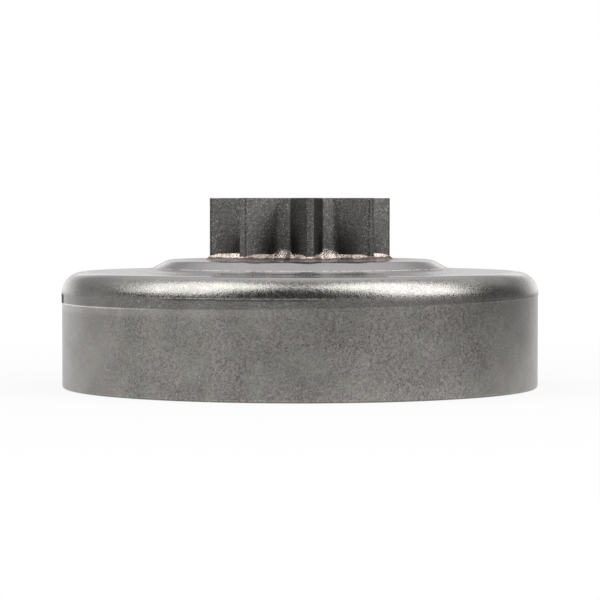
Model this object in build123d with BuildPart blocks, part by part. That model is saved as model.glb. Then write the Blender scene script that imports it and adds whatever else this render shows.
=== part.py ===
"""Clutch drum: a deep-drawn steel cup with a sintered spur sprocket brazed on its boss.

Sizes are in millimetres. The origin is on the drum's axis, in the plane of the open rim,
and +Z points out through the sprocket, along the shaft.
"""

from build123d import *
import os
from math import asin, atan2, cos, degrees, radians, sin, tan

# Pressed cup
drum_diameter = 72.0  # turned outside
drum_height = 17.5  # from the rim to the outside of the web
wall = 2.5  # left by turning it outside and inside
sheet = 2.65  # of the web and the boss, as pressed
shoulder_radius = 3.35  # outside of the drawn corner between wall and web
inner_shoulder_chamfer = 1.0  # where the turned inside meets the web
rim_chamfer = 0.4

# Raised boss in the middle of the web
boss_height = 1.8
boss_top_diameter = 40.0  # between the sharp corners, before rounding
boss_slope_width = 3.4  # from that corner out to the web, seen from above
boss_foot_radius = 4.5
boss_crown_radius = 2.5

# Outer turning cut
skim = 0.08  # its depth
witness_height = 13.45  # on the axis, where the outer cut ends
witness_tilt = 1.0  # degrees that the end of the outer cut is out of square
witness_low_side = 228.0  # degrees about +Z, where that end lies lowest

# Spur sprocket, for chain of 1/4 inch pitch
teeth = 8
tip_diameter = 27.4
tooth_land = 1.07  # flat width at a tooth's tip
gullet_floor_radius = 8.63  # from the axis to the middle of the flat floor between two teeth
gullet_floor_width = 1.87
gullet_root_radius = 0.55
sprocket_height = 9.3  # above the boss
edge_break = 0.12  # on the tooth tips and round the top
bearing_bore_diameter = 13.0
bearing_lead_in = 0.5

# Spigot under the sprocket, which centres it in the web
spigot_diameter = 16.0
spigot_stand_out = 1.5  # past the inside of the web
braze_gap = 0.1  # on the radius, between the spigot and its hole

# Copper braze
fillet_rise = 1.0  # how high the copper stands all round the sprocket's foot
fillet_leg = 0.5  # how far it reaches out over the boss
puddle_height = 1.8  # where the copper has climbed a gullet's floor
puddle_crown_diameter = 1.2
puddle_foot_diameter = 3.4
inner_fillet_size = 0.8

# Worked out from the sizes above
drum_radius = drum_diameter / 2
pressed_radius = drum_radius + skim
track_radius = drum_radius - wall  # which the clutch shoes rub on
under_web_height = drum_height - sheet
boss_top_radius = boss_top_diameter / 2
boss_base_radius = boss_top_radius + boss_slope_width
boss_slope = atan2(boss_height, boss_slope_width)
mitre = sheet * tan(boss_slope / 2)  # how far the inner corners of the boss lie inside the outer
seat_height = drum_height + boss_height
under_seat_height = seat_height - sheet
hub_hole_radius = spigot_diameter / 2 + braze_gap
tip_radius = tip_diameter / 2
pitch_angle = 360 / teeth

os.makedirs("parts", exist_ok=True)


# Drum cup: one sheet, drawn to shape, then turned inside, and outside up to a witness line
with BuildPart() as outer_cut:
    with BuildSketch():
        Circle(pressed_radius + skim)
        Circle(drum_radius, mode=Mode.SUBTRACT)
    extrude(amount=drum_height)
    witness_plane = Plane(
        origin=(0, 0, witness_height),
        z_dir=Vector(sin(radians(witness_tilt)), 0, cos(radians(witness_tilt))).rotate(
            Axis.Z, witness_low_side
        ),
    )
    split(bisect_by=witness_plane, keep=Keep.BOTTOM)

with BuildPart() as drum_cup:
    with BuildSketch(Plane.XZ):
        with BuildLine():
            FilletPolyline(
                (pressed_radius, 0),
                (pressed_radius, drum_height),
                (boss_base_radius, drum_height),
                (boss_top_radius, seat_height),
                (hub_hole_radius, seat_height),
                radius=[shoulder_radius, boss_foot_radius, boss_crown_radius],
            )
            Polyline(
                (hub_hole_radius, seat_height),
                (hub_hole_radius, under_seat_height),
                (boss_top_radius - mitre, under_seat_height),
                (boss_base_radius - mitre, under_web_height),
                (track_radius - inner_shoulder_chamfer, under_web_height),
                (track_radius, under_web_height - inner_shoulder_chamfer),
                (track_radius, 0),
                (pressed_radius, 0),
            )
        make_face()
    revolve(axis=Axis.Z)

    add(outer_cut.part, mode=Mode.SUBTRACT)
    rim_edges = drum_cup.edges().filter_by(GeomType.CIRCLE).group_by(Axis.Z)[0]
    chamfer(rim_edges, rim_chamfer)


# Spur sprocket: straight-flanked teeth on a hub, sintered in one piece with its spigot
with BuildSketch() as gullet:
    half_land_angle = degrees(asin(tooth_land / tip_diameter))
    floor_corner = Vector(gullet_floor_radius, gullet_floor_width / 2)
    tip_corner = Vector(tip_radius, 0).rotate(Axis.Z, pitch_angle / 2 - half_land_angle)
    past_tip = tip_corner * 2 - floor_corner
    with BuildLine():
        Polyline(
            floor_corner,
            past_tip,
            (past_tip.X, -past_tip.Y),
            (floor_corner.X, -floor_corner.Y),
            close=True,
        )
    make_face()
    fillet(gullet.vertices().group_by(Axis.X)[0], gullet_root_radius)

with BuildSketch(Plane.XY.offset(seat_height)) as tooth_outline:
    Circle(tip_radius)
    with PolarLocations(0, teeth):
        add(gullet.sketch, mode=Mode.SUBTRACT)
    chamfer(tooth_outline.vertices().sort_by(SortBy.DISTANCE)[-2 * teeth :], edge_break)

with BuildPart() as spur_sprocket:
    add(tooth_outline.sketch)
    extrude(amount=sprocket_height)
    chamfer(spur_sprocket.faces().sort_by(Axis.Z)[-1].outer_wire().edges(), edge_break)

    with BuildSketch(Plane.XY.offset(seat_height)):
        Circle(spigot_diameter / 2)
    extrude(amount=-(sheet + spigot_stand_out))

    Hole(bearing_bore_diameter / 2)
    chamfer(spur_sprocket.edges(Select.LAST).filter_by(GeomType.CIRCLE), bearing_lead_in)


# Braze fillet: copper drawn into the corner all round the sprocket, with a puddle in each gullet
with BuildPart() as braze_fillet:
    with BuildSketch(Plane.XY.offset(seat_height)):
        Circle(boss_top_radius)
    extrude(amount=-sheet)
    add(tooth_outline.sketch)
    extrude(amount=sprocket_height)
    foot_edges = braze_fillet.edges(Select.LAST).group_by(Axis.Z)[0]
    seat_face = braze_fillet.faces().filter_by(Axis.Z).sort_by(Axis.Z)[1]
    chamfer(foot_edges, fillet_leg, fillet_rise, reference=seat_face)
    with Locations((0, 0, seat_height)):
        with PolarLocations(gullet_floor_radius, teeth):
            Cone(
                puddle_foot_diameter / 2,
                puddle_crown_diameter / 2,
                puddle_height,
                align=(Align.CENTER, Align.CENTER, Align.MIN),
            )
    with BuildSketch(Plane.XY.offset(seat_height)):
        Circle(boss_top_radius)
    extrude(amount=-sheet, mode=Mode.SUBTRACT)
    add(tooth_outline.sketch)
    extrude(amount=sprocket_height, mode=Mode.SUBTRACT)


# Inner braze ring: the copper that has run through to the inside of the web, round the spigot
with BuildPart() as inner_braze_ring:
    with Locations((0, 0, under_seat_height)):
        Cone(
            spigot_diameter / 2,
            hub_hole_radius + inner_fillet_size,
            inner_fillet_size,
            align=(Align.CENTER, Align.CENTER, Align.MAX),
        )
    Hole(spigot_diameter / 2)


for name, piece in {
    "drum_cup": drum_cup,
    "spur_sprocket": spur_sprocket,
    "braze_fillet": braze_fillet,
    "inner_braze_ring": inner_braze_ring,
}.items():
    piece.part.label = name
    export_step(piece.part, f"parts/{name}.step")
    print(name, round(piece.part.volume, 2), "mm3", piece.part.bounding_box())
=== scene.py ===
"""Clutch drum for a garden machine, dressed for a studio picture.

A deep-drawn steel cup, turned outside up to a witness line, carries a sintered chain
sprocket that is copper-brazed on its boss. Blender's unit is the metre; sizes here are
in millimetres and pass through MM. The origin is on the axis in the plane of the open
rim, and +Z points out through the sprocket.
"""

import logging
import math
from dataclasses import dataclass
from enum import Enum
from typing import Callable

import bpy
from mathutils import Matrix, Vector, noise

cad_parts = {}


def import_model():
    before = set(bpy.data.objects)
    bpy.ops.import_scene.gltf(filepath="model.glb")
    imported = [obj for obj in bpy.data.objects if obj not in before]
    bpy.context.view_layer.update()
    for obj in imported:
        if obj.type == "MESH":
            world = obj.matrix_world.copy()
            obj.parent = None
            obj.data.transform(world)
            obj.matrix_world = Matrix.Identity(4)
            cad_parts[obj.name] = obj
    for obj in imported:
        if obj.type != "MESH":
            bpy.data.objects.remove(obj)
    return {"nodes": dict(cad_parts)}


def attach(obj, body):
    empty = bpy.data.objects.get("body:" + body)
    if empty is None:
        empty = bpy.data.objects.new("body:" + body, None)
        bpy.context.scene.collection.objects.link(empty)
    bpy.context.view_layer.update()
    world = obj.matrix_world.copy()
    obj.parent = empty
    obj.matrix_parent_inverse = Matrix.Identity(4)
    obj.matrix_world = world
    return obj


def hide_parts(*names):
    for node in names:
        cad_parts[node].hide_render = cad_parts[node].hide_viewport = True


log = logging.getLogger("clutch_drum")

MM = 0.001
FULL_TURN = 2 * math.pi
BODY = "root"

Colour = tuple[float, float, float]
Ring = tuple[float, float]  # its radius and its height
Border = tuple[float, float]  # where a soft border starts and where it is complete
Span = tuple[Border, Border]


class Slot(Enum):
    """The record's material slots."""

    DRUM = "drum_steel"
    SPROCKET = "sintered_steel"
    BRAZE = "copper_braze"


# Modelling


def deselect_all() -> None:
    """Leave edit mode and deselect every object."""
    if bpy.context.object is not None and bpy.context.object.mode != "OBJECT":
        bpy.ops.object.mode_set(mode="OBJECT")
    bpy.ops.object.select_all(action="DESELECT")


def make_active(piece: bpy.types.Object) -> None:
    """Select one object alone and make it the active one.

    Args:
        piece: The object to work on.
    """
    deselect_all()
    piece.select_set(True)
    bpy.context.view_layer.objects.active = piece


def leave_edit() -> None:
    """Go back to object mode."""
    bpy.ops.object.mode_set(mode="OBJECT")


def edit_all(piece: bpy.types.Object) -> None:
    """Open one object in edit mode with its whole mesh selected.

    Args:
        piece: The object to work on.
    """
    make_active(piece)
    bpy.ops.object.mode_set(mode="EDIT")
    bpy.ops.mesh.select_all(action="SELECT")


def select_points(piece: bpy.types.Object, test: Callable[[Vector], bool]) -> None:
    """Open a mesh in edit mode with some vertices selected, and what lies between them.

    Args:
        piece: The mesh object.
        test: Says for a place in millimetres whether it is wanted.
    """
    make_active(piece)
    mesh = piece.data
    wanted = {v.index for v in mesh.vertices if test(v.co / MM)}
    for vertex in mesh.vertices:
        vertex.select = vertex.index in wanted
    for parts in (mesh.edges, mesh.polygons):
        for part in parts:
            part.select = all(i in wanted for i in part.vertices)
    bpy.ops.object.mode_set(mode="EDIT")


def turn_outwards() -> None:
    """Select the whole mesh that is being edited and turn its faces outwards."""
    bpy.ops.mesh.select_all(action="SELECT")
    bpy.ops.mesh.normals_make_consistent(inside=False)


def bevel_edges(width: float, steps: int) -> None:
    """Round the selected edges over a width in millimetres, in a number of steps."""
    bpy.ops.mesh.bevel(
        offset_type="OFFSET",
        offset=width * MM,
        segments=steps,
        profile=0.5,
        affect="EDGES",
        clamp_overlap=False,
    )


def new_circle(name: str, sides: int, radius: float, height: float) -> bpy.types.Object:
    """Add an open circle of edges round the axis.

    Args:
        name: The new object's name.
        sides: How many vertices it has.
        radius: Its radius in millimetres.
        height: Its place along the axis in millimetres.

    Returns:
        The object, active and in edit mode with its whole ring selected.
    """
    deselect_all()
    bpy.ops.mesh.primitive_circle_add(vertices=sides, radius=radius * MM, fill_type="NOTHING")
    piece = bpy.context.object
    piece.name = name
    piece.data.name = name
    edit_all(piece)
    bpy.ops.transform.translate(value=(0, 0, height * MM))
    return piece


def extrude_rings(name: str, sides: int, rings: list[Ring]) -> bpy.types.Object:
    """Draw a circle on from ring to ring round the axis.

    Args:
        name: The new object's name.
        sides: How many vertices each ring has.
        rings: The rings in order, in millimetres.

    Returns:
        The open tube, active and in edit mode.
    """
    radius, height = rings[0]
    piece = new_circle(name, sides, radius, height)
    for next_radius, next_height in rings[1:]:
        bpy.ops.mesh.extrude_region_move(
            TRANSFORM_OT_translate={"value": (0, 0, (next_height - height) * MM)}
        )
        scale = next_radius / radius
        bpy.ops.transform.resize(
            value=(scale, scale, 1), center_override=(0, 0, next_height * MM)
        )
        radius, height = next_radius, next_height
    return piece


@dataclass(frozen=True)
class Corner:
    """A corner of a turned profile, in millimetres."""

    radius: float
    height: float
    rounding: float = 0.0
    steps: int = 6

    def along(self, other: "Corner", distance: float) -> Ring:
        """Return the place at a distance from this corner towards another."""
        share = distance / math.hypot(other.radius - self.radius, other.height - self.height)
        return (
            self.radius + (other.radius - self.radius) * share,
            self.height + (other.height - self.height) * share,
        )


@dataclass
class TurnedShell:
    """A closed shell of revolution, extruded ring by ring and then rounded at its corners.

    Its hold is the distance from a rounding to the ring that keeps its neighbour flat.
    """

    name: str
    corners: tuple[Corner, ...]
    sides: int = 256
    hold: float = 0.12

    def tangent_length(self, index: int) -> float:
        """Work out how far from a corner its rounding begins.

        Args:
            index: The corner's place in the profile.

        Returns:
            The distance in millimetres.
        """
        here = self.corners[index]
        before = self.corners[index - 1]
        after = self.corners[(index + 1) % len(self.corners)]
        way_in = math.atan2(here.height - before.height, here.radius - before.radius)
        way_out = math.atan2(after.height - here.height, after.radius - here.radius)
        turn = abs((way_out - way_in + math.pi) % FULL_TURN - math.pi)
        return here.rounding * math.tan(turn / 2)

    def rings(self) -> list[Ring]:
        """List the corners' rings, with one more beside each rounding.

        Returns:
            Every ring in order.
        """
        found = []
        count = len(self.corners)
        for index, here in enumerate(self.corners):
            after = self.corners[(index + 1) % count]
            found.append((here.radius, here.height))
            length = math.hypot(after.radius - here.radius, after.height - here.height)
            near = self.tangent_length(index) + self.hold
            far = length - self.tangent_length((index + 1) % count) - self.hold
            if far > near + self.hold and here.rounding:
                found.append(here.along(after, near))
            if far > near + self.hold and after.rounding:
                found.append(here.along(after, far))
        return found

    def build(self) -> bpy.types.Object:
        """Extrude the rings, close the shell and round its corners.

        Returns:
            The finished mesh object, in object mode.
        """
        merge_distance = 0.002
        rings = self.rings()
        piece = extrude_rings(self.name, self.sides, rings + rings[:1])
        bpy.ops.mesh.select_all(action="SELECT")
        bpy.ops.mesh.remove_doubles(threshold=merge_distance * MM)
        turn_outwards()
        leave_edit()
        for index, corner in enumerate(self.corners):
            if corner.rounding:
                self.round_corner(piece, corner, self.tangent_length(index))
        return piece

    @staticmethod
    def round_corner(piece: bpy.types.Object, corner: Corner, length: float) -> None:
        """Bevel one ring of edges to an arc.

        Args:
            piece: The shell.
            corner: The corner whose ring is rounded.
            length: How far from the corner the arc begins, in millimetres.
        """
        close = 0.01
        select_points(
            piece,
            lambda p: abs(math.hypot(p.x, p.y) - corner.radius) < close
            and abs(p.z - corner.height) < close,
        )
        bevel_edges(length, corner.steps)
        leave_edit()


def shade(piece: bpy.types.Object, sharp_degrees: float) -> None:
    """Shade a piece smooth, except over edges sharper than an angle."""
    make_active(piece)
    bpy.ops.object.shade_smooth_by_angle(angle=math.radians(sharp_degrees))


def put_in_place(
    piece: bpy.types.Object, node: str, slot: Slot, material: bpy.types.Material
) -> None:
    """Dress a finished piece and hand it to the frame in place of a CAD node.

    Args:
        piece: The finished piece, with its object at the origin.
        node: The CAD node that it stands for.
        slot: The record's material slot; not used.
        material: The material that it wears.
    """
    piece.data.materials.clear()
    piece.data.materials.append(material)
    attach(piece, BODY)
    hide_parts(node)
    triangles = sum(len(face.vertices) - 2 for face in piece.data.polygons)
    log.info("%s stands for %s: %d triangles", piece.name, node, triangles)


# Shading


class Graph:
    """Short calls for adding nodes to a tree and joining them.

    A value is either a number, a tuple of numbers or another node's socket.
    """

    def __init__(self, tree: bpy.types.NodeTree) -> None:
        """Empty the tree and keep it."""
        self.tree = tree
        tree.nodes.clear()

    def add(self, kind: str, **settings: object) -> bpy.types.Node:
        """Add a node and set its properties.

        Args:
            kind: The node's type, without the leading ShaderNode.
            **settings: Properties of the node.

        Returns:
            The new node.
        """
        node = self.tree.nodes.new("ShaderNode" + kind)
        for key, value in settings.items():
            setattr(node, key, value)
        return node

    def feed(self, socket: bpy.types.NodeSocket, value: object) -> None:
        """Link a socket to another, or set its own value.

        Args:
            socket: The input.
            value: What it gets.
        """
        if isinstance(value, bpy.types.NodeSocket):
            self.tree.links.new(value, socket)
        elif isinstance(value, tuple) and len(value) == 3 and socket.type == "RGBA":
            socket.default_value = (*value, 1.0)
        else:
            socket.default_value = value

    def run(self, kind: str, values: tuple[object, ...], **settings: object) -> bpy.types.Node:
        """Add a node and feed its inputs in order.

        Args:
            kind: The node's type, without the leading ShaderNode.
            values: What its first inputs get.
            **settings: Properties of the node.

        Returns:
            The new node.
        """
        node = self.add(kind, **settings)
        for socket, value in zip(node.inputs, values):
            self.feed(socket, value)
        return node

    def math(self, operation: str, *values: object, clamp: bool = False) -> bpy.types.NodeSocket:
        """Return the result of a Math node."""
        return self.run("Math", values, operation=operation, use_clamp=clamp).outputs[0]

    def product(self, *values: object) -> bpy.types.NodeSocket:
        """Multiply several values in turn.

        Args:
            *values: The values.

        Returns:
            Their product.
        """
        result = values[0]
        for value in values[1:]:
            result = self.math("MULTIPLY", result, value)
        return result

    def vector(self, operation: str, *values: object) -> bpy.types.NodeSocket:
        """Return the vector result of a Vector Math node."""
        return self.run("VectorMath", values, operation=operation).outputs["Vector"]

    def dot(self, point: object, direction: object) -> bpy.types.NodeSocket:
        """Return the dot product of a point and a fixed direction."""
        values = (point, direction)
        return self.run("VectorMath", values, operation="DOT_PRODUCT").outputs["Value"]

    def length(self, point: object) -> bpy.types.NodeSocket:
        """Return a vector's length."""
        return self.run("VectorMath", (point,), operation="LENGTH").outputs["Value"]

    def ramp(
        self, value: object, low: object, high: object, start: float = 0.0, end: float = 1.0
    ) -> bpy.types.NodeSocket:
        """Return a smooth step of a value from start to end, between low and high."""
        values = (value, low, high, start, end)
        return self.run("MapRange", values, interpolation_type="SMOOTHSTEP").outputs["Result"]

    def fade(self, mask: object, start: float, end: float) -> bpy.types.NodeSocket:
        """Return a smooth step from start to end as a mask goes from 0 to 1."""
        return self.ramp(mask, 0.0, 1.0, start, end)

    def between(self, value: object, span: Span) -> bpy.types.NodeSocket:
        """Return a mask of where a value lies between two soft borders."""
        return self.product(self.ramp(value, *span[0]), self.ramp(value, *span[1]))

    def blend(
        self, factor: object, first: object, second: object, mode: str = "MIX"
    ) -> bpy.types.NodeSocket:
        """Mix two colours.

        Args:
            factor: How much of the second shows.
            first: The first colour.
            second: The second colour.
            mode: The way in which they are mixed.

        Returns:
            The mixed colour.
        """
        node = self.add("Mix", data_type="RGBA", blend_type=mode, clamp_factor=True)
        sockets = {socket.identifier: socket for socket in node.inputs}
        self.feed(sockets["Factor_Float"], factor)
        self.feed(sockets["A_Color"], first)
        self.feed(sockets["B_Color"], second)
        return next(out for out in node.outputs if out.identifier == "Result_Color")

    def noise(
        self, point: object, scale: object, detail: float = 2.0, rough: float = 0.5
    ) -> bpy.types.NodeSocket:
        """Add a noise pattern.

        Args:
            point: Where it is read.
            scale: How fine it is.
            detail: How many finer layers it has.
            rough: How strong those layers are.

        Returns:
            Its factor.
        """
        node = self.add("TexNoise")
        self.feed(node.inputs["Vector"], point)
        self.feed(node.inputs["Scale"], scale)
        self.feed(node.inputs["Detail"], detail)
        self.feed(node.inputs["Roughness"], rough)
        return node.outputs["Fac"]

    def group(self, tree: bpy.types.NodeTree, **values: object) -> bpy.types.Node:
        """Add a node group.

        Args:
            tree: The group.
            **values: What its inputs get, each named with underscores for its spaces.

        Returns:
            The new node.
        """
        node = self.add("Group", node_tree=tree)
        for name, value in values.items():
            self.feed(node.inputs[name.replace("_", " ")], value)
        return node

    def relief(
        self, shader: bpy.types.Node, height: object, strength: float, depth: float
    ) -> None:
        """Give a shader small relief by a Bump node.

        Args:
            shader: The shader whose normal it bends.
            height: The relief's pattern.
            strength: How strongly it shows.
            depth: How deep it is, in millimetres.
        """
        bump = self.add("Bump")
        bump.inputs["Strength"].default_value = strength
        bump.inputs["Distance"].default_value = depth * MM
        self.feed(bump.inputs["Height"], height)
        self.feed(shader.inputs["Normal"], bump.outputs["Normal"])


def new_group(
    name: str, inputs: dict[str, tuple[str, float]], outputs: dict[str, str]
) -> tuple[Graph, bpy.types.Node, bpy.types.Node]:
    """Start a shader node group.

    Args:
        name: The group's name.
        inputs: Each input's socket kind and first value.
        outputs: Each output's socket kind.

    Returns:
        The group's graph, its input node and its output node.
    """
    tree = bpy.data.node_groups.new(name, "ShaderNodeTree")
    for label, (kind, value) in inputs.items():
        socket = tree.interface.new_socket(
            name=label, in_out="INPUT", socket_type="NodeSocket" + kind
        )
        if kind == "Float":
            socket.default_value = value
    for label, kind in outputs.items():
        tree.interface.new_socket(name=label, in_out="OUTPUT", socket_type="NodeSocket" + kind)
    graph = Graph(tree)
    return graph, tree.nodes.new("NodeGroupInput"), tree.nodes.new("NodeGroupOutput")


class Effects:
    """The patterns that several finishes share, each a shader node group built once."""

    def __init__(self) -> None:
        """Build every group."""
        self.place = self.build_place()
        self.mottle = self.build_mottle()
        self.specks = self.build_specks()

    @staticmethod
    def build_place() -> bpy.types.NodeTree:
        """Build the group that tells where a point lies on the drum.

        Returns:
            The group, which gives the point in millimetres, its height and its radius.
        """
        graph, _, out = new_group(
            "place on the drum", {}, {"Point": "Vector", "Height": "Float", "Radius": "Float"}
        )
        source = graph.add("TexCoord")
        scaled = graph.add("Mapping")
        graph.feed(scaled.inputs["Vector"], source.outputs["Object"])
        scaled.inputs["Scale"].default_value = (1 / MM, 1 / MM, 1 / MM)
        point = scaled.outputs["Vector"]
        parts = graph.run("SeparateXYZ", (point,))
        flat = graph.vector("MULTIPLY", point, (1, 1, 0))
        graph.feed(out.inputs["Point"], point)
        graph.feed(out.inputs["Height"], parts.outputs["Z"])
        graph.feed(out.inputs["Radius"], graph.length(flat))
        return graph.tree

    @staticmethod
    def build_mottle() -> bpy.types.NodeTree:
        """Build the group that mottles metal.

        Returns:
            The group, with fine grain, soft blotches and a slow drift, each about 0.5.
        """
        graph, given, out = new_group(
            "mottled metal",
            {
                "Point": ("Vector", 0),
                "Grain Scale": ("Float", 3.0),
                "Blotch Scale": ("Float", 0.2),
            },
            {"Grain": "Float", "Blotch": "Float", "Drift": "Float"},
        )
        point, scale, wide = given.outputs[:3]
        fine = graph.noise(point, scale, detail=2.0, rough=0.7)
        coarse = graph.noise(point, graph.product(scale, 0.4), detail=2.0, rough=0.6)
        grain = graph.math("MULTIPLY_ADD", coarse, 0.3, graph.product(fine, 0.7))
        blotch = graph.noise(point, wide, detail=3.0, rough=0.55)
        elsewhere = graph.vector("ADD", point, (71.0, 19.0, 43.0))
        drift = graph.noise(elsewhere, wide, detail=4.0, rough=0.6)
        graph.feed(out.inputs["Grain"], graph.ramp(grain, 0.36, 0.64))
        graph.feed(out.inputs["Blotch"], graph.ramp(blotch, 0.32, 0.68))
        graph.feed(out.inputs["Drift"], graph.ramp(drift, 0.35, 0.65))
        return graph.tree

    @staticmethod
    def build_specks() -> bpy.types.NodeTree:
        """Build the group that scatters small round specks over a surface.

        Returns:
            The group, with the specks' mask.
        """
        graph, given, out = new_group(
            "scattered specks",
            {
                "Point": ("Vector", 0),
                "Scale": ("Float", 2.0),
                "Size": ("Float", 0.2),
                "Share": ("Float", 0.3),
            },
            {"Mask": "Float"},
        )
        cells = graph.add("TexVoronoi", feature="F1")
        graph.feed(cells.inputs["Vector"], given.outputs["Point"])
        graph.feed(cells.inputs["Scale"], given.outputs["Scale"])
        chance = graph.run("SeparateColor", (cells.outputs["Color"],))
        chosen = graph.math("LESS_THAN", chance.outputs[0], given.outputs["Share"])
        width = graph.product(given.outputs["Size"], chance.outputs[1])
        disc = graph.math("LESS_THAN", cells.outputs["Distance"], width)
        graph.feed(out.inputs["Mask"], graph.product(chosen, disc))
        return graph.tree


def new_material(slot: Slot) -> tuple[bpy.types.Material, Graph, bpy.types.Node]:
    """Start a slot's material with a Principled shader.

    Args:
        slot: The record's material slot, which names it.

    Returns:
        The material, its graph and its shader.
    """
    material = bpy.data.materials.new(slot.value)
    material.use_nodes = True
    graph = Graph(material.node_tree)
    shader = graph.add("BsdfPrincipled")
    out = graph.add("OutputMaterial")
    graph.feed(out.inputs["Surface"], shader.outputs["BSDF"])
    return material, graph, shader


@dataclass(frozen=True)
class WitnessLine:
    """Where the outer turning cut ends: a plane a little out of square, in millimetres."""

    height: float = 13.45
    tilt_degrees: float = 1.0
    low_side_degrees: float = 228.0

    def slope(self) -> tuple[float, float]:
        """Work out how the line runs uphill.

        Returns:
            Its rise for each millimetre along X and along Y.
        """
        fall = math.tan(math.radians(self.tilt_degrees))
        side = math.radians(self.low_side_degrees)
        return -fall * math.cos(side), -fall * math.sin(side)


@dataclass(frozen=True)
class SteelZones:
    """Masks from 0 to 1 for the ways in which the cup's surface was made and marked, and for where
    shade and highlights are painted.
    """

    turned: bpy.types.NodeSocket
    band: bpy.types.NodeSocket
    dull_and_shade: bpy.types.NodeSocket
    web: bpy.types.NodeSocket
    inside: bpy.types.NodeSocket
    ring: bpy.types.NodeSocket
    foot: bpy.types.NodeSocket
    seat: bpy.types.NodeSocket
    smooth: bpy.types.NodeSocket
    edge_highlight: bpy.types.NodeSocket
    ledge: bpy.types.NodeSocket
    press_line_highlight: bpy.types.NodeSocket
    shaded_boss_side: bpy.types.NodeSocket
    painted_shade_mark: bpy.types.NodeSocket


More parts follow.
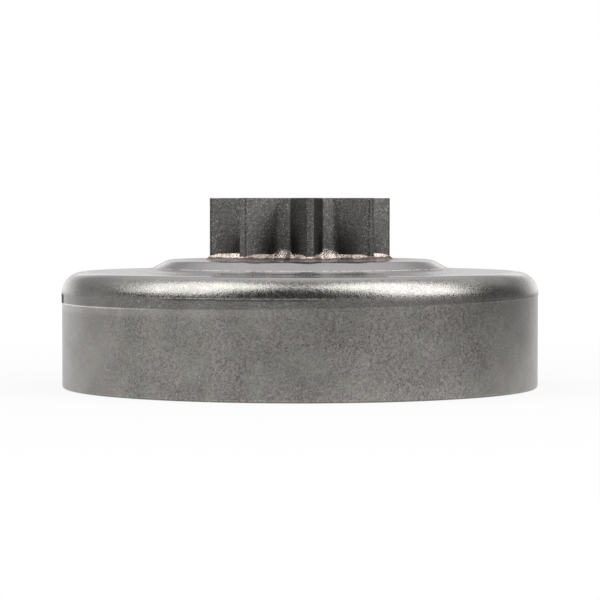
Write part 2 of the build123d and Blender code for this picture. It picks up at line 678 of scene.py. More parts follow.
@dataclass(frozen=True)
class DrumSteelFinish:
    """Cold-drawn steel: turned and tumbled on the wall, with a press burnish elsewhere, and with
    painted shade and painted highlights in its colour.

    Radii, heights and reaches are in millimetres. A reach is measured from the axis in one
    level direction, which is given in degrees about +Z. The cut's and the band's own heights
    are measured from the witness line, and the ledge's from the ledge.
    """

    effects: Effects
    line: WitnessLine

    turned: Colour = (0.285, 0.273, 0.261)
    band: Colour = (0.42, 0.408, 0.39)
    pressed: Colour = (0.375, 0.366, 0.352)
    # Dull colour with painted shade: it darkens the band from the ledge down to the witness line,
    # paints a shadow line just under the ledge and paints shade along the bottom of the rim.
    dull_and_shade: Colour = (0.15, 0.146, 0.139)
    web: Colour = (0.54, 0.515, 0.53)
    inside: Colour = (0.36, 0.35, 0.335)
    # Near-white: laid on a ring where the web meets the shoulder, and the colour of the painted
    # highlight lines.
    burnished_and_highlight: Colour = (0.85, 0.83, 0.84)
    # Painted shade: a near-black sliver on the pressed band just above the witness line, towards
    # the left.
    painted_shade_mark: Colour = (0.03, 0.028, 0.026)
    # Painted shade for the cup's left and right ends and the boss's sides, as the camera sees
    # them.
    painted_end_shade: Colour = (0.2, 0.187, 0.185)
    olive: Colour = (0.99, 1.0, 0.96)
    violet: Colour = (1.0, 0.982, 0.982)
    speck: Colour = (0.62, 0.61, 0.58)

    wall_radii: Border = (35.0, 35.3)
    rim_heights: Border = (0.38, 0.14)
    top_heights: Border = (16.9, 17.1)
    web_radii: Border = (34.9, 33.7)
    web_heights: Border = (15.5, 16.5)
    inside_radii: Border = (34.0, 33.8)
    inside_heights: Border = (15.3, 14.9)
    ring_radii: Span = ((32.2, 32.5), (33.2, 32.9))
    foot_radii: Span = ((21.9, 22.6), (25.2, 24.4))
    seat_radii: Border = (18.5, 15.0)
    boss_heights: Border = (17.6, 17.9)
    boss_side_reach: Border = (9.0, 19.0)
    press_line_radii: Span = ((22.23, 22.35), (22.55, 22.35))
    press_line_heights: Border = (17.3, 17.5)

    cut_edge: Border = (0.03, -0.03)
    cut_wobble: float = 0.12
    # Width, reach and strength of the painted highlight along the witness line.
    cut_edge_line: Border = (0.11, 0.05)
    bright_line_reach: Border = (20.0, 34.0)
    bright_line_shares: Border = (0.1, 0.9)
    band_foot: float = -2.4
    band_raggedness: float = 1.9
    band_depth: float = 0.9
    band_reach: Border = (-5.0, 24.0)
    band_shares: Border = (0.15, 1.0)

    ledge_height: float = 14.45
    ledge_direction: float = 272.0
    ledge_step: float = 2.2
    ledge_reach: Border = (32.5, 35.3)
    ledge_face: Border = (-0.1, 0.03)
    under_ledge: Span = ((-0.7, -0.2), (0.02, -0.04))
    below_ledge: Border = (0.25, -0.5)
    below_share: float = 0.7
    under_share: float = 0.95
    rim_share: float = 0.75
    # Height, width and share of the painted highlight along the ledge.
    ledge_line_height: float = 0.07
    ledge_highlight: Border = (0.09, 0.04)
    ledge_line_share: float = 0.7
    mark_direction: float = 203.0
    mark_reach: Border = (35.84, 35.99)
    mark_heights: Border = (14.4, 14.05)
    # The camera's level right-hand direction: the ends and the boss's sides that get painted shade
    # lie along it.
    smooth_direction: float = 16.05
    smooth_reach: Border = (22.0, 32.0)

    patchy_ledge: Border = (0.42, 0.55)
    patchy_press_line: Border = (0.4, 0.55)
    patchy_mark: Border = (0.3, 0.45)

    @staticmethod
    def reach(graph: Graph, point: object, degrees: float) -> bpy.types.NodeSocket:
        """Return how far a point lies from the axis in one level direction."""
        turn = math.radians(degrees)
        return graph.dot(point, (math.cos(turn), math.sin(turn), 0.0))

    def zones(
        self, graph: Graph, place: bpy.types.Node, ragged: bpy.types.NodeSocket
    ) -> SteelZones:
        """Work out where each kind of surface lies.

        Args:
            graph: The material's graph.
            place: The group node that gives the point, its height and its radius.
            ragged: A noise that makes the borders uneven.

        Returns:
            The masks.
        """
        ramp, product = graph.ramp, graph.product
        point, height, radius = (place.outputs[n] for n in ("Point", "Height", "Radius"))
        rise_x, rise_y = self.line.slope()
        tipped = graph.dot(point, (-rise_x, -rise_y, 1.0))
        above_line = graph.math("SUBTRACT", tipped, self.line.height)
        above_ledge = graph.math("SUBTRACT", height, self.ledge_height)
        to_mark = self.reach(graph, point, self.mark_direction)
        to_ledge = self.reach(graph, point, self.ledge_direction)
        aside = graph.math("ABSOLUTE", self.reach(graph, point, self.smooth_direction))

        outside = ramp(radius, *self.wall_radii)
        top_side = ramp(height, *self.top_heights)
        wobble = graph.math(
            "MULTIPLY_ADD", ragged, self.cut_wobble, -self.cut_wobble / 2
        )
        uneven = graph.math("ADD", above_line, wobble)
        turned = product(outside, ramp(uneven, *self.cut_edge))
        off_wall = graph.math("SUBTRACT", 1.0, turned)

        band_foot = graph.math("MULTIPLY_ADD", ragged, self.band_raggedness, self.band_foot)
        band_top = graph.math("ADD", band_foot, self.band_depth)
        band_share = ramp(to_mark, *self.band_reach, *self.band_shares)

        ledge_share = ramp(to_ledge, *self.ledge_reach)
        # Painted shade: the band below the ledge is darkened, a shadow line is painted just under
        # the ledge and the rim's bottom edge is painted darker.
        below = product(outside, ramp(above_ledge, *self.below_ledge), self.below_share)
        ledge_shadow = graph.between(above_ledge, self.under_ledge)
        ledge_shadow = product(ledge_shadow, ledge_share, self.under_share, outside)
        rim = product(outside, ramp(height, *self.rim_heights, 0.0, self.rim_share))
        dull_and_shade = product(graph.math("MAXIMUM", below, ledge_shadow), off_wall)

        off_line = graph.math("ABSOLUTE", above_line)
        # Painted highlights: a near-white line along the witness line, strongest towards the left,
        # and one along the ledge.
        cut_highlight = product(
            ramp(off_line, *self.cut_edge_line),
            outside,
            ramp(to_mark, *self.bright_line_reach, *self.bright_line_shares),
        )
        ledge_top = graph.math("SUBTRACT", above_ledge, self.ledge_line_height)
        ledge_highlight = product(
            ramp(graph.math("ABSOLUTE", ledge_top), *self.ledge_highlight),
            ledge_share,
            ramp(ragged, *self.patchy_ledge, 0.0, self.ledge_line_share),
            outside,
        )
        return SteelZones(
            turned=turned,
            band=product(turned, ramp(above_line, band_foot, band_top), band_share),
            dull_and_shade=graph.math("MAXIMUM", dull_and_shade, rim),
            web=product(ramp(radius, *self.web_radii), ramp(height, *self.web_heights)),
            inside=product(
                ramp(radius, *self.inside_radii), ramp(height, *self.inside_heights)
            ),
            ring=product(graph.between(radius, self.ring_radii), top_side),
            foot=product(graph.between(radius, self.foot_radii), top_side),
            seat=product(ramp(radius, *self.seat_radii), top_side),
            # The cup's left and right ends as the camera sees them: calmer grain there, and
            # painted shade.
            smooth=ramp(aside, *self.smooth_reach),
            edge_highlight=graph.math("MAXIMUM", cut_highlight, ledge_highlight),
            ledge=product(ramp(above_ledge, *self.ledge_face), ledge_share, ragged),
            # Painted highlight: a thin, broken, near-white and rougher line on the boss's slope,
            # where a pressing line runs.
            press_line_highlight=product(
                graph.between(radius, self.press_line_radii),
                ramp(height, *self.press_line_heights),
                ramp(ragged, *self.patchy_press_line),
            ),
            # Painted shade on the boss's left and right sides, as the camera sees them.
            shaded_boss_side=product(
                ramp(aside, *self.boss_side_reach), ramp(height, *self.boss_heights)
            ),
            # Painted shade: the dark sliver just above the witness line, towards the left, made
            # rough and not metallic.
            painted_shade_mark=product(
                ramp(to_mark, *self.mark_reach),
                ramp(height, *self.mark_heights),
                ramp(ragged, *self.patchy_mark),
                off_wall,
            ),
        )

    def colour(
        self, graph: Graph, zones: SteelZones, fine: bpy.types.Node
    ) -> bpy.types.NodeSocket:
        """Lay the colours of the zones over each other and mottle them, painted shade and painted
        highlights among them.

        Args:
            graph: The material's graph.
            zones: Where each kind of surface lies.
            fine: The group node with the mottle.

        Returns:
            The colour.
        """
        off_web = graph.math("SUBTRACT", 1.0, zones.web)
        colour = graph.blend(zones.web, self.pressed, self.web)
        # Some layers are painted shade: the boss's sides, the cup's ends and the dull band; the
        # press line and the edge lines are painted highlights.
        for mask, share, layer in (
            (zones.ring, 1.0, self.burnished_and_highlight),
            (zones.shaded_boss_side, 0.4, self.painted_end_shade),
            (zones.press_line_highlight, 1.0, self.burnished_and_highlight),
            (graph.product(zones.smooth, off_web), 0.6, self.painted_end_shade),
            (zones.turned, 1.0, self.turned),
            (zones.band, 0.4, self.band),
            (zones.dull_and_shade, 1.0, self.dull_and_shade),
            (zones.inside, 1.0, self.inside),
            (zones.edge_highlight, 1.0, self.burnished_and_highlight),
        ):
            colour = graph.blend(graph.product(mask, share), colour, layer)

        spread = graph.product(
            graph.fade(zones.web, 0.5, 0.06),
            graph.fade(zones.turned, 1.0, 1.5),
            graph.fade(zones.band, 1.0, 0.5),
            graph.fade(zones.smooth, 1.0, 0.4),
            graph.fade(fine.outputs["Drift"], 0.8, 1.15),
        )
        level = graph.product(graph.math("SUBTRACT", fine.outputs["Grain"], 0.5), spread)
        cloud = graph.math("SUBTRACT", fine.outputs["Blotch"], 0.5)
        cloud = graph.product(cloud, graph.fade(zones.web, 0.2, 0.07))
        level = graph.math("ADD", level, graph.math("ADD", cloud, 1.0))
        grey = graph.run("CombineColor", (level, level, level))
        colour = graph.blend(1.0, colour, grey.outputs[0], "MULTIPLY")
        tint = graph.blend(fine.outputs["Drift"], self.olive, self.violet)
        colour = graph.blend(1.0, colour, tint, "MULTIPLY")
        return graph.blend(zones.painted_shade_mark, colour, self.painted_shade_mark)

    def build(self) -> bpy.types.Material:
        """Build the drum's material, with a zone for each way its surface was made.

        Returns:
            The material.
        """
        material, graph, shader = new_material(Slot.DRUM)
        place = graph.group(self.effects.place)
        point = place.outputs["Point"]
        ragged = graph.noise(point, 1.1, detail=4.0, rough=0.7)
        zones = self.zones(graph, place, ragged)
        fine = graph.group(self.effects.mottle, Point=point, Grain_Scale=4.8, Blotch_Scale=0.2)
        grain = fine.outputs["Grain"]

        dots = graph.group(self.effects.specks, Point=point, Scale=1.6, Size=0.22, Share=0.3)
        bright = graph.product(dots.outputs["Mask"], graph.fade(zones.web, 0.5, 0.0))
        colour = graph.blend(bright, self.colour(graph, zones, fine), self.speck)
        graph.feed(shader.inputs["Base Color"], colour)

        rough = graph.fade(zones.web, 0.25, 0.16)
        for mask, extra in (
            (zones.turned, 0.06),
            (zones.inside, 0.1),
            (zones.band, -0.04),
            (zones.ring, -0.09),
            (zones.foot, 0.08),
            (zones.seat, 0.14),
            (zones.press_line_highlight, 0.3),
            (zones.painted_shade_mark, 0.6),
        ):
            rough = graph.math("MULTIPLY_ADD", mask, extra, rough)
        uneven = graph.math("MULTIPLY_ADD", grain, 0.1, -0.05)
        graph.feed(shader.inputs["Roughness"], graph.math("ADD", rough, uneven))
        graph.feed(shader.inputs["Metallic"], graph.fade(zones.painted_shade_mark, 1.0, 0.0))

        pitting = graph.product(
            graph.fade(zones.web, 1.0, 0.03),
            graph.fade(zones.turned, 1.0, 0.5),
            graph.fade(zones.smooth, 1.0, 0.25),
        )
        relief = graph.product(grain, pitting)
        relief = graph.math("MULTIPLY_ADD", zones.ledge, self.ledge_step, relief)
        graph.relief(shader, relief, strength=0.4, depth=0.025)
        return material


@dataclass(frozen=True)
class SinteredSteelFinish:
    """Pressed and sintered steel: dark, dry and grainy, with bright grains in it, and with shade
    painted into its colour.
    """

    effects: Effects
    teeth: int = 8
    dark: Colour = (0.13, 0.129, 0.122)
    light: Colour = (0.25, 0.248, 0.237)
    # Painted shade: laid low between the teeth, down the corners of the tips and on the flanks of
    # the tooth that faces the camera.
    painted_shade: Colour = (0.025, 0.024, 0.021)
    sparkle: Colour = (0.78, 0.77, 0.74)
    edge_reflection: Colour = (0.25, 0.25, 0.25)

    land_half_angle: float = 2.238
    corner_line: Border = (0.5, 0.2)
    corner_share: float = 0.5
    bore_radii: Border = (8.1, 8.4)
    deep_heights: Border = (26.0, 20.6)
    deep_radii: Border = (13.2, 9.6)
    deep_share: float = 0.85
    floor_radii: Border = (8.75, 9.5)
    floor_share: float = 0.3
    # The tooth that faces the camera, whose flanks get painted shade.
    shaded_tooth_degrees: float = 292.5
    shaded_tooth_share: float = 0.4
    shaded_tooth_width: Border = (3.0, 2.5)
    shaded_tooth_reach: Border = (8.4, 9.0)
    tip_radii: Border = (13.62, 13.45)

    def corner_shade_lines(self, graph: Graph, point: object) -> bpy.types.NodeSocket:
        """Find the lines of painted shade down both corners of each tooth's tip.

        Args:
            graph: The material's graph.
            point: The point in millimetres.

        Returns:
            Their mask.
        """
        parts = graph.run("SeparateXYZ", (point,))
        turn = graph.math("ARCTAN2", parts.outputs["Y"], parts.outputs["X"])
        degrees = graph.product(turn, math.degrees(1.0))
        half_pitch = 180 / self.teeth
        from_gullet = graph.math("PINGPONG", graph.math("ADD", degrees, 360.0), half_pitch)
        from_corner = graph.math("SUBTRACT", from_gullet, half_pitch - self.land_half_angle)
        return graph.ramp(graph.math("ABSOLUTE", from_corner), *self.corner_line)

    def shaded_front_tooth(self, graph: Graph, point: object, radius: object) -> bpy.types.NodeSocket:
        """Find the flanks of the tooth that faces the camera, where shade is painted.

        Args:
            graph: The material's graph.
            point: The point in millimetres.
            radius: Its distance from the axis.

        Returns:
            Their mask.
        """
        turn = math.radians(self.shaded_tooth_degrees)
        along = graph.dot(point, (math.cos(turn), math.sin(turn), 0.0))
        across = graph.dot(point, (-math.sin(turn), math.cos(turn), 0.0))
        return graph.product(
            graph.ramp(graph.math("ABSOLUTE", across), *self.shaded_tooth_width),
            graph.ramp(along, *self.shaded_tooth_reach),
            graph.ramp(radius, *self.tip_radii),
        )

    def build(self) -> bpy.types.Material:
        """Build the sprocket's material.

        Returns:
            The material.
        """
        material, graph, shader = new_material(Slot.SPROCKET)
        place = graph.group(self.effects.place)
        point, height, radius = (place.outputs[n] for n in ("Point", "Height", "Radius"))
        fine = graph.group(self.effects.mottle, Point=point, Grain_Scale=4.4, Blotch_Scale=0.35)
        grain, blotch = fine.outputs["Grain"], fine.outputs["Blotch"]
        outside = graph.ramp(radius, *self.bore_radii)
        # Painted shade: darker low down towards the roots, less so on the gullets' floors.
        deep = graph.product(
            graph.ramp(height, *self.deep_heights),
            graph.ramp(radius, *self.deep_radii),
            outside,
            self.deep_share,
            graph.ramp(radius, *self.floor_radii, self.floor_share, 1.0),
        )
        dots = graph.group(self.effects.specks, Point=point, Scale=4.4, Size=0.4, Share=0.75)
        # Painted shade down the corners of each tooth's tip.
        corners = graph.product(
            self.corner_shade_lines(graph, point), self.corner_share, outside
        )
        # Painted shade on the flanks of the tooth that faces the camera.
        flanks = graph.product(
            self.shaded_front_tooth(graph, point, radius), self.shaded_tooth_share
        )
        bright = graph.product(
            dots.outputs["Mask"], graph.ramp(deep, 0.1, 0.7, 0.5, 0.12)
        )
        colour = graph.blend(grain, self.dark, self.light)
        for mask, layer in (
            (graph.ramp(blotch, 0.2, 0.9, 0.25, 0.0), self.dark),
            (deep, self.painted_shade),
            (corners, self.painted_shade),
            (flanks, self.painted_shade),
            (bright, self.sparkle),
        ):
            colour = graph.blend(mask, colour, layer)
        graph.feed(shader.inputs["Base Color"], colour)
        graph.feed(shader.inputs["Roughness"], graph.fade(grain, 0.6, 0.46))
        shader.inputs["Metallic"].default_value = 1.0
        graph.feed(shader.inputs["Specular Tint"], self.edge_reflection)
        graph.relief(shader, grain, strength=0.5, depth=0.04)
        return material


@dataclass(frozen=True)
class CopperBrazeFinish:
    """Furnace copper: pink and bright where it pooled, brown where it ran out thin."""

    effects: Effects
    pooled: Colour = (0.97, 0.86, 0.8)
    copper: Colour = (0.93, 0.81, 0.75)
    brown: Colour = (0.19, 0.14, 0.115)
    thin: Colour = (0.34, 0.31, 0.30)

    edge_height: float = 19.72
    edge_fade: float = 0.16
    edge_drift: float = 0.3
    edge_grain: float = 0.12
    thin_heights: Border = (19.36, 19.52)
    pool_radii: Border = (11.4, 10.2)

    def build(self) -> bpy.types.Material:
        """Build the braze's material.

        Returns:
            The material.
        """
        material, graph, shader = new_material(Slot.BRAZE)
        place = graph.group(self.effects.place)
        point, height, radius = (place.outputs[n] for n in ("Point", "Height", "Radius"))
        upright_streaks = graph.vector("MULTIPLY", point, (1.0, 1.0, 0.25))
        fine = graph.group(
            self.effects.mottle, Point=upright_streaks, Grain_Scale=6.5, Blotch_Scale=0.6
        )
        grain, blotch = fine.outputs["Grain"], fine.outputs["Blotch"]
        mean_edge = self.edge_height - self.edge_drift / 2
        edge = graph.math("MULTIPLY_ADD", blotch, self.edge_drift, mean_edge)
        edge = graph.math("MULTIPLY_ADD", grain, self.edge_grain, edge)
        clean = graph.ramp(height, graph.math("SUBTRACT", edge, self.edge_fade), edge)
        pooled = graph.ramp(radius, *self.pool_radii)
        colour = graph.blend(
            graph.ramp(height, *self.thin_heights), self.thin, self.brown
        )
        colour = graph.blend(clean, colour, graph.blend(pooled, self.copper, self.pooled))
        for mask in (
            graph.product(graph.ramp(grain, 0.5, 0.1, 0.0, 0.8), graph.fade(pooled, 1.0, 0.5)),
            graph.product(graph.ramp(blotch, 0.5, 0.95, 0.0, 0.4), graph.fade(pooled, 1.0, 0.2)),
        ):
            colour = graph.blend(mask, colour, self.brown)
        graph.feed(shader.inputs["Base Color"], colour)
        rough = graph.math("MULTIPLY_ADD", pooled, -0.08, graph.fade(clean, 0.5, 0.32))
        graph.feed(shader.inputs["Roughness"], rough)
        shader.inputs["Metallic"].default_value = 1.0
        graph.relief(shader, grain, strength=0.8, depth=0.06)
        return material


# The object


@dataclass
class DrumCup:
    """The drawn cup: wall, shoulder, web and raised boss, in millimetres."""

    line: WitnessLine
    wall_radius: float = 36.0
    pressed_radius: float = 36.08
    track_radius: float = 33.5
    web_top: float = 17.5
    web_under: float = 14.85
    boss_foot: float = 23.4
    boss_edge: float = 20.0
    boss_top: float = 19.3
    boss_under: float = 16.65
    under_edge: float = 19.34
    under_foot: float = 22.74
    hub_hole: float = 8.1
    step: float = 0.03

    rim_rounding: float = 0.42
    track_rounding: float = 0.4
    shoulder: float = 3.35
    boss_foot_rounding: float = 4.5
    boss_crown_rounding: float = 2.5
    under_crown_rounding: float = 1.0
    under_foot_rounding: float = 6.5
    inner_corner_rounding: float = 0.9
    sharp_degrees: float = 50

    def profile(self) -> tuple[Corner, ...]:
        """List the corners of the cup's section.

        Returns:
            The corners, from the rim up the outside and back down the inside.
        """
        rim_middle = (self.wall_radius + self.track_radius) / 2
        return (
            Corner(rim_middle, 0),
            Corner(self.wall_radius, 0, self.rim_rounding, 5),
            Corner(self.wall_radius, self.line.height - self.step),
            Corner(self.pressed_radius, self.line.height + self.step),
            Corner(self.pressed_radius, self.web_top, self.shoulder, 20),
            Corner(self.boss_foot, self.web_top, self.boss_foot_rounding, 10),
            Corner(self.boss_edge, self.boss_top, self.boss_crown_rounding, 8),
            Corner(self.hub_hole, self.boss_top),
            Corner(self.hub_hole, self.boss_under),
            Corner(self.under_edge, self.boss_under, self.under_crown_rounding, 5),
            Corner(self.under_foot, self.web_under, self.under_foot_rounding, 8),
            Corner(self.track_radius, self.web_under, self.inner_corner_rounding, 6),
            Corner(self.track_radius, 0, self.track_rounding, 4),
        )

    def build(self) -> bpy.types.Object:
        """Build the cup, with its witness line tilted as the cut left it.

        Returns:
            The finished mesh object.
        """
        piece = TurnedShell("drum_shell", self.profile(), hold=self.step).build()
        self.tilt_witness_line(piece)
        shade(piece, self.sharp_degrees)
        return piece

    def tilt_witness_line(self, piece: bpy.types.Object) -> None:
        """Tip the rings at the end of the turned wall.

        Args:
            piece: The cup.
        """
        reach = 2 * self.step
        select_points(
            piece,
            lambda p: math.hypot(p.x, p.y) > self.wall_radius - reach
            and abs(p.z - self.line.height) < reach,
        )
        rise_x, rise_y = self.line.slope()
        centre = (0, 0, self.line.height * MM)
        for axis, angle in (("X", rise_y), ("Y", -rise_x)):
            bpy.ops.transform.rotate(
                value=-math.atan(angle), orient_axis=axis, center_override=centre
            )
        leave_edit()


@dataclass
class ToothForm:
    """The outline of the sprocket's teeth, in millimetres."""

    teeth: int = 8
    tip_radius: float = 13.7
    land: float = 1.07
    floor_radius: float = 8.63
    floor_width: float = 1.87
    root_radius: float = 0.55
    tip_break: float = 0.11

    def pitch(self) -> float:
        """Return the angle from one tooth to the next."""
        return FULL_TURN / self.teeth

    def pitch_corners(self) -> tuple[tuple[float, float], ...]:
        """Place the four corners in each pitch.

        Returns:
            Each corner's radius and its angle from a gullet.
        """
        half_floor = self.floor_width / 2
        radius = math.hypot(self.floor_radius, half_floor)
        angle = math.atan2(half_floor, self.floor_radius)
        half_land = math.asin(self.land / 2 / self.tip_radius)
        return (
            (radius, angle),
            (self.tip_radius, self.pitch() / 2 - half_land),
            (self.tip_radius, self.pitch() / 2 + half_land),
            (radius, self.pitch() - angle),
        )

    def points(self) -> list[Vector]:
        """Place all the outline's corners.

        Returns:
            The corners in the plane, in order round the axis.
        """
        return [
            Vector((math.cos(angle + k * self.pitch()), math.sin(angle + k * self.pitch())))
            * radius
            for k in range(self.teeth)
            for radius, angle in self.pitch_corners()
        ]

    def outline(self, name: str, height: float) -> bpy.types.Object:
        """Add the outline as a ring of edges.

        Args:
            name: The new object's name.
            height: Its place along the axis in millimetres.

        Returns:
            The object, in edit mode with its whole ring selected.
        """
        places = self.points()
        piece = new_circle(name, len(places), self.tip_radius, height)
        leave_edit()
        for vertex in piece.data.vertices:
            turn = math.atan2(vertex.co.y, vertex.co.x) % FULL_TURN
            order = round(turn / FULL_TURN * len(places)) % len(places)
            vertex.co.x, vertex.co.y = places[order] * MM
        edit_all(piece)
        return piece


@dataclass
class SpurSprocket:
    """The sintered sprocket with its spigot, in millimetres."""

    form: ToothForm
    seat: float = 19.3
    top: float = 28.6
    top_break: float = 0.13
    spigot_radius: float = 8.0
    spigot_end: float = 15.15
    spigot_ease: float = 0.3
    bore_radius: float = 6.5
    lead_in: float = 0.5
    root_steps: int = 5
    break_steps: int = 3
    bore_sides: int = 128
    sharp_degrees: float = 28

    def build(self) -> bpy.types.Object:
        """Join the teeth with the bore and the spigot to one closed mesh.

        Returns:
            The finished mesh object.
        """
        merge_distance = 0.001
        teeth = self.toothed_sleeve()
        bore = self.bored_spigot()
        make_active(teeth)
        bore.select_set(True)
        bpy.ops.object.join()
        for height in (self.top, self.seat):
            self.close_face(teeth, height)
        edit_all(teeth)
        bpy.ops.mesh.remove_doubles(threshold=merge_distance * MM)
        turn_outwards()
        leave_edit()
        shade(teeth, self.sharp_degrees)
        return teeth

    def toothed_sleeve(self) -> bpy.types.Object:
        """Raise the teeth's outer faces, with rounded roots and broken edges.

        Returns:
            The sleeve, open at both ends.
        """
        piece = self.form.outline("sprocket_body", self.seat)
        body = self.top - self.seat
        bpy.ops.mesh.extrude_region_move(
            TRANSFORM_OT_translate={"value": (0, 0, body * MM)}
        )
        root_length = self.form.root_radius * math.tan(self.root_turn() / 2)
        self.round_posts(piece, False, root_length, self.root_steps)
        self.round_posts(piece, True, self.form.tip_break, self.break_steps)
        self.break_top_edge(piece)
        return piece

    def root_turn(self) -> float:
        """Return the angle between a gullet's floor and its flank."""
        floor, tip = self.form.points()[:2]
        return math.pi / 2 - math.atan2(tip.y - floor.y, tip.x - floor.x)

    def round_posts(
        self, piece: bpy.types.Object, is_tip: bool, length: float, steps: int
    ) -> None:
        """Bevel the upright edges at the teeth's tips or roots.

        Args:
            piece: The sleeve.
            is_tip: True for the tips, False for the roots.
            length: The bevel's width in millimetres.
            steps: Its segments.
        """
        middle = (self.form.tip_radius + self.form.floor_radius) / 2
        half_body = (self.top - self.seat) / 2
        make_active(piece)
        mesh = piece.data
        for part in (*mesh.vertices, *mesh.polygons):
            part.select = False
        for edge in mesh.edges:
            first, second = (mesh.vertices[i].co / MM for i in edge.vertices)
            upright = abs(first.z - second.z) > half_body
            at_tip = math.hypot(first.x, first.y) > middle
            edge.select = upright and at_tip == is_tip
        bpy.ops.object.mode_set(mode="EDIT")
        bpy.ops.mesh.select_mode(type="EDGE")
        bevel_edges(length, steps)
        bpy.ops.mesh.select_mode(type="VERT")
        leave_edit()

    def break_top_edge(self, piece: bpy.types.Object) -> None:
        """Round the open top edge with small insets of a lid, then take the lid off.

        Args:
            piece: The sleeve.
        """
        low = self.top - self.top_break
        select_points(piece, lambda p: p.z > low)
        bpy.ops.transform.translate(value=(0, 0, -self.top_break * MM))
        bpy.ops.mesh.edge_face_add()
        for index in range(self.break_steps):
            start, end = (
                math.pi / 2 * (index + k) / self.break_steps for k in (0, 1)
            )
            inward = self.top_break * (math.cos(start) - math.cos(end))
            upward = self.top_break * (math.sin(end) - math.sin(start))
            bpy.ops.mesh.inset(thickness=inward * MM, depth=0)
            bpy.ops.transform.translate(value=(0, 0, upward * MM))
        bpy.ops.mesh.delete(type="ONLY_FACE")
        leave_edit()

    def bored_spigot(self) -> bpy.types.Object:
        """Draw the bore and the spigot.

        Returns:
            One open tube of rings, in object mode.
        """
        rings = [
            (self.bore_radius + self.lead_in, self.top),
            (self.bore_radius, self.top - self.lead_in),
            (self.bore_radius, self.spigot_end + self.lead_in),
            (self.bore_radius + self.lead_in, self.spigot_end),
            (self.spigot_radius - self.spigot_ease, self.spigot_end),
            (self.spigot_radius, self.spigot_end + self.spigot_ease),
            (self.spigot_radius, self.seat),
        ]
        piece = extrude_rings("sprocket_bore", self.bore_sides, rings)
        leave_edit()
        return piece

    @staticmethod
    def close_face(piece: bpy.types.Object, height: float) -> None:
        """Fill the flat face between two open rings.

        Args:
            piece: The joined sleeve and tube.
            height: The rings' height in millimetres.
        """
        close = 0.005
        select_points(piece, lambda p: abs(p.z - height) < close)
        bpy.ops.mesh.fill(use_beauty=True)
        leave_edit()


@dataclass
class BrazeFillet:
    """The copper bead round the sprocket's foot, drawn up into each gullet, in millimetres."""

    form: ToothForm
    seat: float = 19.3
    leg: float = 0.62
    rise: float = 0.95
    tip_drop: float = 0.3
    tip_drop_start: float = 12.5
    puddle_height: float = 1.75
    puddle_reach: float = 1.75
    inner_radius: float = 8.3
    outer_radius: float = 14.9
    rings: int = 78
    sides: int = 840
    sink: float = 0.12
    hidden_depth: float = 0.45
    least_height: float = 0.02
    thickness: float = 0.05
    sharp_degrees: float = 80

    lump_scale: float = 0.6
    leg_lumps: float = 0.08
    rise_lumps: float = 0.1
    puddle_lumps: float = 0.15
    ripple_scale: float = 3.2
    ripples: float = 0.05
    bead_hollow: float = 1.4
    puddle_dome: float = 0.75
    merging: int = 3

    @staticmethod
    def distance(place: Vector, corners: list[Vector]) -> float:
        """Return how far a place lies outside the teeth's outline, below zero inside it.

        Args:
            place: The place in the plane, in millimetres.
            corners: The outline's corners in order.

        Returns:
            The signed distance in millimetres.
        """
        nearest = math.inf
        inside = False
        for start, end in zip(corners, corners[1:] + corners[:1]):
            run = end - start
            share = max(0.0, min(1.0, (place - start).dot(run) / run.length_squared))
            nearest = min(nearest, (place - start - run * share).length)
            if (start.y > place.y) != (end.y > place.y):
                across = start.x + (place.y - start.y) * run.x / run.y
                inside = inside != (place.x < across)
        return -nearest if inside else nearest

    def height(self, place: Vector, corners: list[Vector]) -> float:
        """Work out how high the copper stands above the boss.

        Args:
            place: The place in the plane, in millimetres.
            corners: The teeth's outline.

        Returns:
            The height in millimetres, below zero where there is no copper.
        """
        away = self.distance(place, corners)
        if away < -self.hidden_depth:
            return -self.sink
        lumps = noise.noise(Vector((place.x, place.y, 3.1)) * self.lump_scale)
        ripple = noise.noise(Vector((place.x, place.y, 7.7)) * self.ripple_scale)
        leg = self.leg * (1 + self.leg_lumps * lumps)
        near_tip = max(0.0, min(1.0, place.length - self.tip_drop_start))
        rise = self.rise * (1 + self.rise_lumps * lumps) - self.tip_drop * near_tip
        bead = rise * max(0.0, 1 - max(0.0, away) / leg) ** self.bead_hollow
        centre = round(math.atan2(place.y, place.x) / self.form.pitch()) * self.form.pitch()
        pool = Vector((math.cos(centre), math.sin(centre))) * self.form.floor_radius
        reach = self.puddle_reach * (1 + self.puddle_lumps * lumps)
        spread = (place - pool).length / reach
        puddle = self.puddle_height * max(0.0, 1 - spread * spread) ** self.puddle_dome
        height = (bead**self.merging + puddle**self.merging) ** (1 / self.merging)
        if height <= self.least_height:
            return -self.sink
        return height * (1 + self.ripples * ripple)

    def build(self) -> bpy.types.Object:
        """Lay a thin closed blanket over the boss, raised where copper stands.

        Returns:
            The finished mesh object.
        """
        step = (self.outer_radius - self.inner_radius) / self.rings
        level = self.seat - self.sink
        rings = [(self.inner_radius + k * step, level) for k in range(self.rings + 1)]
        piece = extrude_rings("braze_bead", self.sides, rings)
        leave_edit()
        corners = self.form.points()
        for vertex in piece.data.vertices:
            place = Vector((vertex.co.x, vertex.co.y)) / MM
            vertex.co.z = (self.seat + self.height(place, corners)) * MM
        self.close_below(piece)
        shade(piece, self.sharp_degrees)
        return piece

    def close_below(self, piece: bpy.types.Object) -> None:
        """Trim the blanket to where copper stands and give it an underside.

        Args:
            piece: The blanket.
        """
        trim = self.seat - self.sink / 2
        underside = trim - self.thickness
        edit_all(piece)
        bpy.ops.mesh.bisect(
            plane_co=(0, 0, trim * MM),
            plane_no=(0, 0, 1),
            clear_inner=True,
            threshold=0.001 * MM,
        )
        turn_outwards()
        bpy.ops.mesh.extrude_region_move(TRANSFORM_OT_translate={"value": (0, 0, 0)})
        bpy.ops.transform.resize(value=(1, 1, 0), center_override=(0, 0, underside * MM))
        turn_outwards()
        leave_edit()


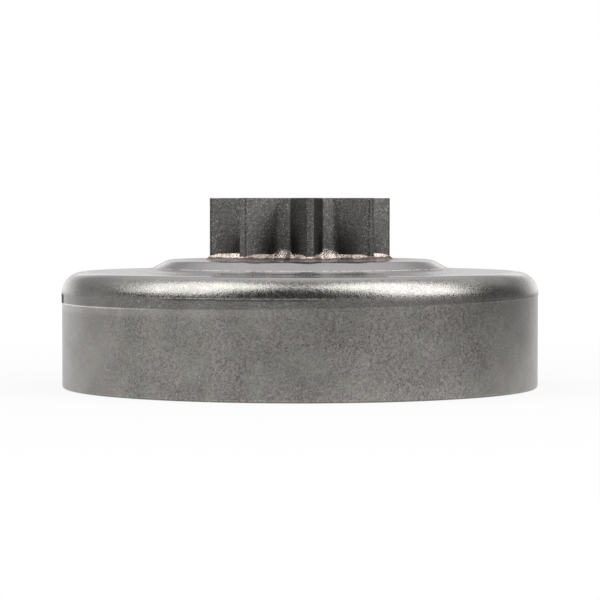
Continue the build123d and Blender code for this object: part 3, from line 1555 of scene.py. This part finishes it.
@dataclass
class InnerBrazeRing:
    """The copper that ran through to the inside of the web, round the spigot, in millimetres."""

    web_under: float = 16.65
    spigot_radius: float = 8.0
    leg: float = 0.85
    bite: float = 0.05
    toe: float = 0.02
    hollow: float = 0.3
    hollow_depth: float = 0.25
    hollow_rounding: float = 0.5
    unevenness: float = 0.15
    sides: int = 192
    sharp_degrees: float = 60

    def build(self) -> bpy.types.Object:
        """Build the ring, hollow-sided and a little uneven.

        Returns:
            The finished mesh object.
        """
        inner = self.spigot_radius - self.bite
        top = self.web_under + self.bite
        bottom = self.web_under - self.leg + self.bite
        corners = (
            Corner(inner, top),
            Corner(self.spigot_radius + self.leg, top),
            Corner(self.spigot_radius + self.leg, self.web_under),
            Corner(
                self.spigot_radius + self.hollow,
                self.web_under - self.hollow_depth,
                self.hollow_rounding,
            ),
            Corner(self.spigot_radius + self.toe, bottom),
            Corner(inner, bottom),
        )
        piece = TurnedShell("inner_braze_bead", corners, sides=self.sides).build()
        for vertex in piece.data.vertices:
            depth = self.web_under * MM - vertex.co.z
            if depth > 0:
                vertex.co.z -= depth * self.unevenness * noise.noise(vertex.co / MM * 0.8)
        shade(piece, self.sharp_degrees)
        return piece


# The studio


@dataclass(frozen=True)
class Softbox:
    """A rectangular softbox that faces the drum, placed in the camera's directions."""

    name: str
    place: tuple[float, float, float]
    depth: float
    width: float
    radiance: float


@dataclass
class Studio:
    """The floor, the light and the camera, in the photograph's own directions."""

    azimuth_degrees: float = 16.05
    distance: float = 406.7
    eye_height: float = 27.52
    pitch_degrees: float = 2.027
    lens: float = 160.75
    softboxes: tuple[Softbox, ...] = (
        Softbox("left_softbox", (-345, -125, 475), 480, 600, 2.5),
        Softbox("right_softbox", (360, -160, 460), 480, 650, 2.8),
    )

    def to_world(self, right: float, away: float, up: float) -> Vector:
        """Turn the camera's level directions into the row frame's.

        Args:
            right: Millimetres to the camera's right of the axis.
            away: Millimetres beyond the axis, away from the camera.
            up: Millimetres above the rim.

        Returns:
            The place in metres.
        """
        turn = math.radians(self.azimuth_degrees)
        across = Vector((math.cos(turn), math.sin(turn), 0)) * right
        beyond = Vector((-math.sin(turn), math.cos(turn), 0)) * away
        return (across + beyond + Vector((0, 0, up))) * MM

    def towards(self, right: float, away: float) -> tuple[float, ...]:
        """Return a level direction, given by its parts in the camera's directions."""
        return tuple(self.to_world(right / MM, away / MM, 0))

    def build(self) -> None:
        """Set up the whole studio."""
        self.build_camera()
        self.build_world()
        self.build_floor()
        for softbox in self.softboxes:
            self.hang(softbox)

    def build_camera(self) -> None:
        """Add the camera at the photograph's viewpoint."""
        data = bpy.data.cameras.new("studio_camera")
        data.sensor_width = 36.0
        data.lens = self.lens
        data.clip_start = 0.01
        data.clip_end = 100.0
        camera = bpy.data.objects.new("studio_camera", data)
        bpy.context.scene.collection.objects.link(camera)
        camera.location = self.to_world(0, -self.distance, self.eye_height)
        camera.rotation_euler = (
            math.radians(90 - self.pitch_degrees),
            0,
            math.radians(self.azimuth_degrees),
        )
        bpy.context.scene.camera = camera

    def hang(self, softbox: Softbox) -> None:
        """Hang one softbox.

        Args:
            softbox: The softbox.
        """
        data = bpy.data.lights.new(softbox.name, "AREA")
        data.shape = "RECTANGLE"
        data.size = softbox.depth * MM
        data.size_y = softbox.width * MM
        data.energy = softbox.radiance * math.pi * data.size * data.size_y
        lamp = bpy.data.objects.new(softbox.name, data)
        bpy.context.scene.collection.objects.link(lamp)
        lamp.location = self.to_world(*softbox.place)
        lamp.rotation_euler = (-lamp.location).to_track_quat("-Z", "Y").to_euler()

    def build_world(self) -> None:
        """Make the room: white behind the object, greyer on the camera's side and above."""
        world = bpy.data.worlds.new("studio_room")
        bpy.context.scene.world = world
        world.use_nodes = True
        graph = Graph(world.node_tree)
        direction = graph.add("TexCoord").outputs["Generated"]
        away = graph.dot(direction, self.towards(0, 1))
        up = graph.dot(direction, (0, 0, 1))

        horizon = graph.ramp(up, 0.1, 0.38, 0.36, 0.0)
        sides = graph.product(
            graph.ramp(away, 0.65, 0.95, 0.3, 3.2), graph.ramp(away, 0.965, 0.99, 1.0, 0.28)
        )
        top = graph.product(graph.ramp(up, 0.4, 0.65, 0.0, 0.3), graph.ramp(away, -0.1, 0.4))
        back = graph.math("ADD", graph.product(horizon, sides), top)
        back = graph.math("ADD", back, 0.43)

        front = graph.ramp(away, -1.0, -0.5, 0.26, 0.34)
        for right, strength in ((0.85, 0.72), (-0.85, 0.12)):
            facing = graph.dot(direction, self.towards(right, -0.53))
            front = graph.math("ADD", front, graph.ramp(facing, 0.75, 0.98, 0.0, strength))
        front = graph.product(front, graph.ramp(up, 0.02, 0.28, 1.0, 0.2))

        behind = graph.ramp(away, -0.15, 0.4)
        level = graph.math("MULTIPLY_ADD", behind, graph.math("SUBTRACT", back, front), front)
        dark_side = graph.dot(direction, self.towards(0.98, 0.2))
        level = graph.product(level, graph.ramp(dark_side, 0.65, 0.95, 1.0, 0.35))

        camera_ray = graph.add("LightPath").outputs["Is Camera Ray"]
        to_white = graph.math("SUBTRACT", 1.0, level)
        strength = graph.math("MULTIPLY_ADD", camera_ray, to_white, level)
        background = graph.run("Background", ((1.0, 1.0, 1.0), strength))
        graph.run("OutputWorld", (background.outputs[0],))

    def build_floor(self) -> None:
        """Lay a white floor that keeps a soft shadow and hides nothing from below."""
        deselect_all()
        bpy.ops.mesh.primitive_plane_add(size=12.0)
        floor = bpy.context.object
        floor.name = "studio_floor"
        material = bpy.data.materials.new("white_floor")
        material.use_nodes = True
        graph = Graph(material.node_tree)
        place = graph.add("TexCoord").outputs["Object"]
        rays = graph.add("LightPath").outputs
        seen = graph.math("ADD", rays["Is Camera Ray"], rays["Is Glossy Ray"])
        seen = graph.math("ADD", seen, rays["Is Transmission Ray"], clamp=True)
        near = graph.ramp(graph.length(place), 0.04, 0.16, 0.12, 0.0)
        lit = graph.math("MULTIPLY_ADD", seen, graph.math("SUBTRACT", near, 1.0), 1.0)
        dark_reach = graph.dot(place, self.towards(0.94, -0.34))
        dimmer = graph.product(rays["Is Glossy Ray"], graph.ramp(dark_reach, 0.04, 0.12, 0.0, 0.5))

        glow = graph.add("Emission")
        graph.feed(glow.inputs["Strength"], graph.math("SUBTRACT", 1.0, dimmer))
        diffuse = graph.add("BsdfDiffuse")
        graph.feed(diffuse.inputs["Color"], (0.75, 0.75, 0.75))
        floor_face = graph.run("MixShader", (lit, glow.outputs[0], diffuse.outputs[0]))
        from_below = graph.add("NewGeometry").outputs["Backfacing"]
        clear = graph.add("BsdfTransparent")
        one_sided = graph.run(
            "MixShader", (from_below, floor_face.outputs[0], clear.outputs[0])
        )
        graph.run("OutputMaterial", (one_sided.outputs[0],))
        floor.data.materials.append(material)


def main() -> None:
    """Light the studio, then build and dress every piece in order."""
    logging.basicConfig(level=logging.INFO, format="%(name)s: %(message)s")
    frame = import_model()
    log.info("the frame holds %d nodes", len(frame["nodes"]))
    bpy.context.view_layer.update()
    Studio().build()

    effects = Effects()
    line = WitnessLine()
    form = ToothForm()
    steel = DrumSteelFinish(effects, line).build()
    sintered = SinteredSteelFinish(effects).build()
    copper = CopperBrazeFinish(effects).build()
    put_in_place(DrumCup(line).build(), "drum_cup", Slot.DRUM, steel)
    put_in_place(SpurSprocket(form).build(), "spur_sprocket", Slot.SPROCKET, sintered)
    put_in_place(BrazeFillet(form).build(), "braze_fillet", Slot.BRAZE, copper)
    put_in_place(InnerBrazeRing().build(), "inner_braze_ring", Slot.BRAZE, copper)
    bpy.context.scene.view_settings.view_transform = "Standard"


if __name__ == "__main__":
    main()
